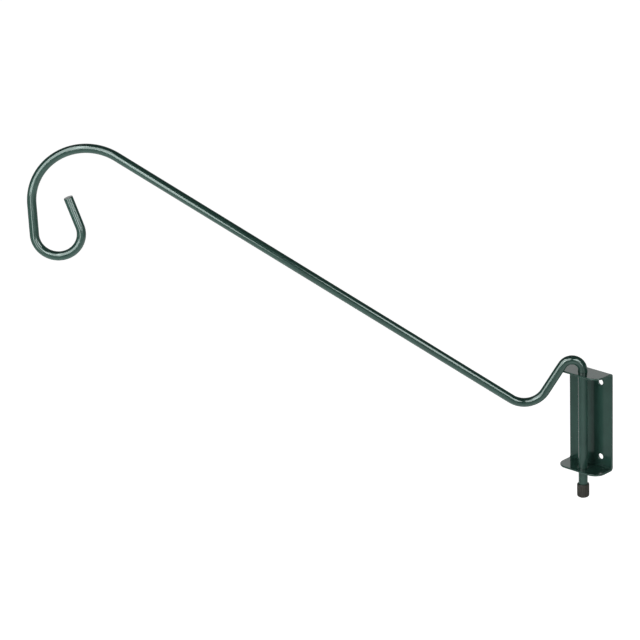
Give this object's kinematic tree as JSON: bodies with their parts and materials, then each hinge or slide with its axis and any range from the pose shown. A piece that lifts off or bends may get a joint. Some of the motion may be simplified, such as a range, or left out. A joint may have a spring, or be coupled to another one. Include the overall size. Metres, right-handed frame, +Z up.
{
  "type": "bird feeder hook",
  "caption": "Wall bracket of folded sheet steel with a bent round steel rod that swings in it, rises outward and ends in a crook and a small curl for a hanging feeder.",
  "frame": {"origin": "middle of the bracket's back face, on the wall", "axes": "+Y into the wall, square to the bracket's back face; +Z up along the wall; +X to the right of someone facing the wall"},
  "size_m": [0.5759, 0.5228, 0.5281],
  "materials": {
    "bracket_enamel": "glossy dark green enamel on sheet steel",
    "rod_enamel": "glossy dark green enamel on round steel bar",
    "cap_rubber": "matt dark grey-brown moulded rubber with fine upright ribs"
  },
  "bodies": {
    "bracket": {"bracket": "bracket_enamel"},
    "end_cap": {"end_cap": "cap_rubber"},
    "hook_arm": {"hook_arm": "rod_enamel"}
  },
  "joints": [
    {"name": "lift", "type": "slide", "parent": "bracket", "child": "end_cap", "axis": [0, 0, 1], "range_m": [0, 0.0215]},
    {"name": "swivel", "type": "hinge", "parent": "end_cap", "child": "hook_arm", "pos_m": [0, -0.0194, 0], "axis": [0, 0, 1], "range_deg": [-2, 96]}
  ]
}
